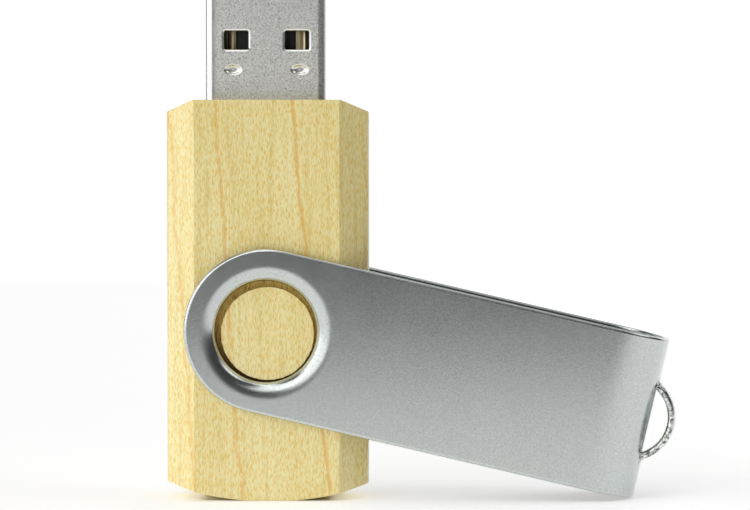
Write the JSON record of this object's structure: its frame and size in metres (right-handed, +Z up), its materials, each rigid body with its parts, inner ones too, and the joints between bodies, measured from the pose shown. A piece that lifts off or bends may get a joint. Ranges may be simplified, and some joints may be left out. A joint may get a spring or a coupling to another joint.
{
  "type": "usb flash drive",
  "caption": "Upright flash drive: chamfered maple body with a rounded end, USB-A plug on top, and a folded metal clip that swivels about round bosses.",
  "frame": {"origin": "on the small flat of the rounded lower end that the drive stands on, below the middle of the wooden body", "axes": "+X towards the folded end of the clip, +Y towards the back broad face, +Z up along the body towards the plug"},
  "size_m": [0.0515, 0.012, 0.0523],
  "materials": {
    "maple": "pale maple, sanded and clear sealed, fine vertical grain",
    "clip_metal": "satin nickel plated sheet",
    "plug_shell": "matt nickel plated sheet with fine speckle",
    "carrier_plastic": "black moulded plastic",
    "gold_plate": "flash gold plated copper alloy",
    "board_resin": "green solder mask over glass epoxy",
    "chip_package": "matt black moulded package",
    "capacitor_ceramic": "brown ceramic",
    "resistor_film": "black glaze",
    "crystal_can": "bright nickel can",
    "cured_epoxy": "amber cured resin"
  },
  "bodies": {
    "drive": {"wooden_body": "maple", "usb_shell": "plug_shell", "contact_carrier": "carrier_plastic", "contact_vbus": "gold_plate", "contact_data_minus": "gold_plate", "contact_data_plus": "gold_plate", "contact_ground": "gold_plate", "circuit_board": "board_resin", "controller_chip": "chip_package", "flash_memory_chip": "chip_package", "quartz_crystal": "crystal_can", "supply_ferrite": "resistor_film", "capacitor_1": "capacitor_ceramic", "capacitor_2": "capacitor_ceramic", "capacitor_3": "capacitor_ceramic", "capacitor_4": "capacitor_ceramic", "capacitor_5": "capacitor_ceramic", "resistor_1": "resistor_film", "resistor_2": "resistor_film", "resistor_3": "resistor_film", "epoxy_anchor": "cured_epoxy"},
    "clip": {"swivel_clip": "clip_metal"}
  },
  "joints": [
    {"name": "clip_swivel", "type": "hinge", "parent": "drive", "child": "clip", "pos_m": [-0.00005, 0, 0.01689], "axis": [0, 1, 0], "continuous": true}
  ]
}
